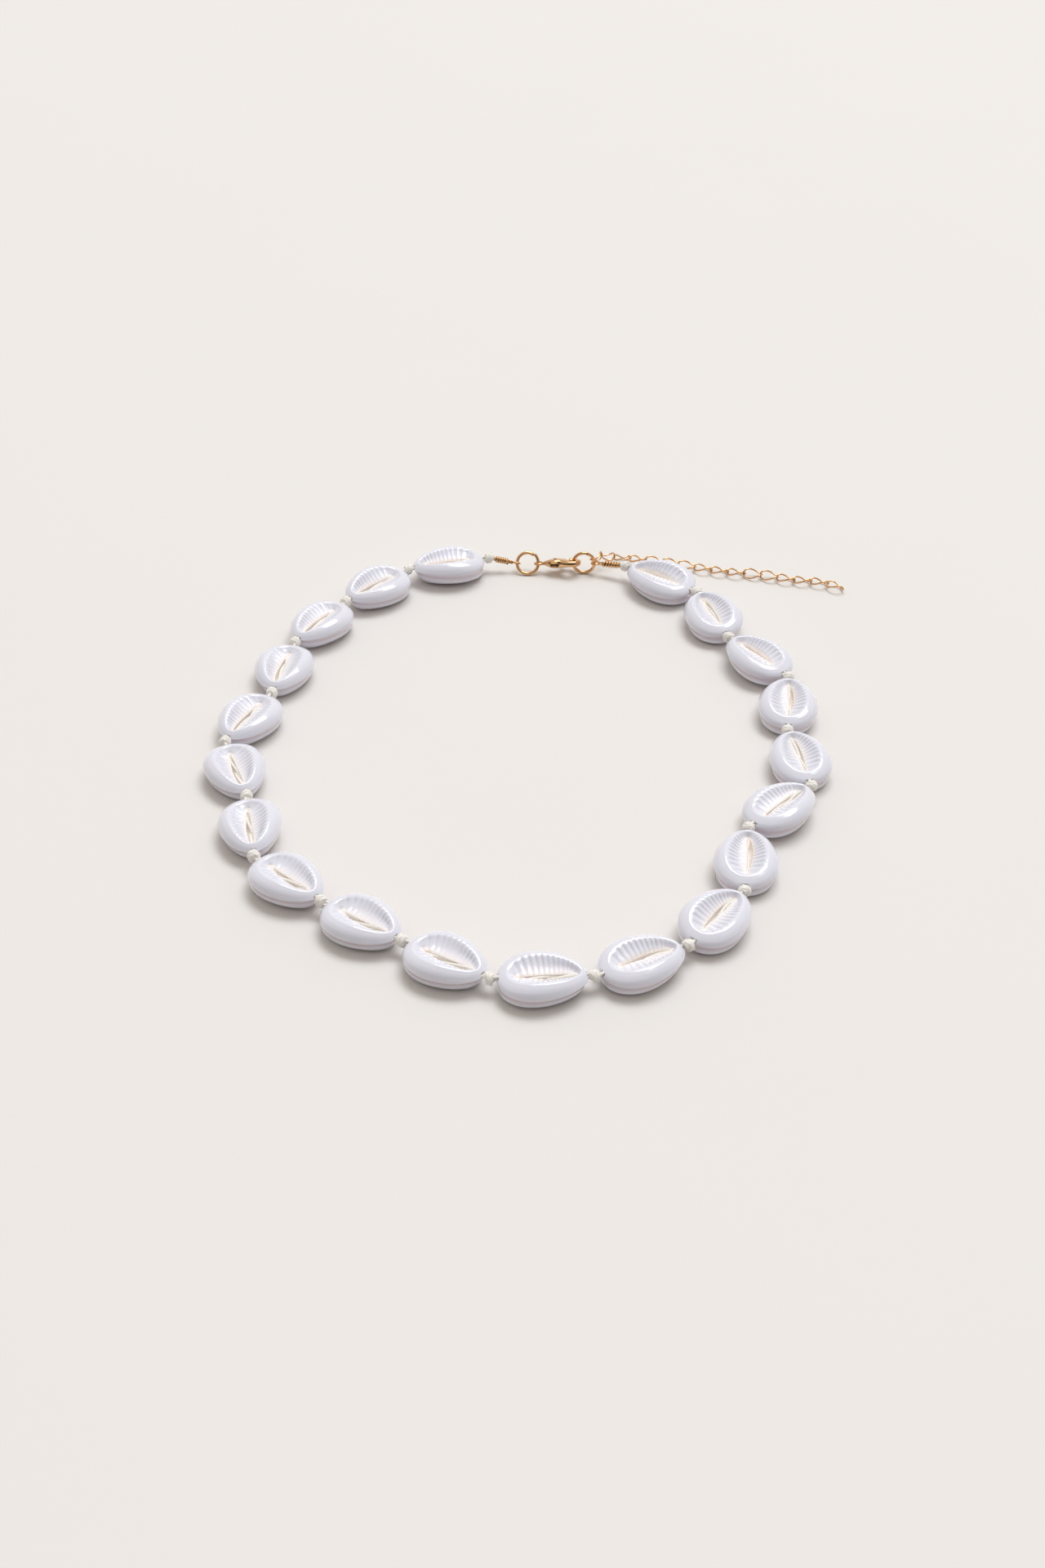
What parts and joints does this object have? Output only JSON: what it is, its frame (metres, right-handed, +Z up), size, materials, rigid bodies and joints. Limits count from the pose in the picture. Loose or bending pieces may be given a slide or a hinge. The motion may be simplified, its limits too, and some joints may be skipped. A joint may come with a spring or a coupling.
{
  "type": "shell necklace",
  "caption": "Necklace of moulded cowrie shells on a knotted waxed cord, with a lobster clasp and a chain extender, laid out flat in a loop.",
  "frame": {"origin": "on the surface it lies on, under the middle of its bounding box", "axes": "+Z up from the surface, +Y towards the clasp, +X towards the extender's side"},
  "size_m": [0.1528, 0.1682, 0.0067],
  "materials": {
    "shell": "pearl gloss",
    "cord": "waxed",
    "gold": "polished, pale gold plated"
  },
  "bodies": {
    "necklace": {"shell_01": "shell", "shell_02": "shell", "shell_03": "shell", "shell_04": "shell", "shell_05": "shell", "shell_06": "shell", "shell_07": "shell", "shell_08": "shell", "shell_09": "shell", "shell_10": "shell", "shell_11": "shell", "shell_12": "shell", "shell_13": "shell", "shell_14": "shell", "shell_15": "shell", "shell_16": "shell", "shell_17": "shell", "shell_18": "shell", "shell_19": "shell", "shell_20": "shell", "thread": "cord", "crimp_left": "gold", "crimp_right": "gold", "ring_left": "gold", "ring_right": "gold", "clasp_body": "gold", "extender_chain": "gold"},
    "lever": {"clasp_lever": "gold"}
  },
  "joints": [
    {"name": "lever_hinge", "type": "hinge", "parent": "necklace", "child": "lever", "pos_m": [0.00364, 0.07814, 0.0027], "axis": [-0.0389, 0.344, 0.9381], "range_deg": [0, 30], "stiffness_Nm_per_rad": 0.0002, "springref_deg": -11.46}
  ]
}
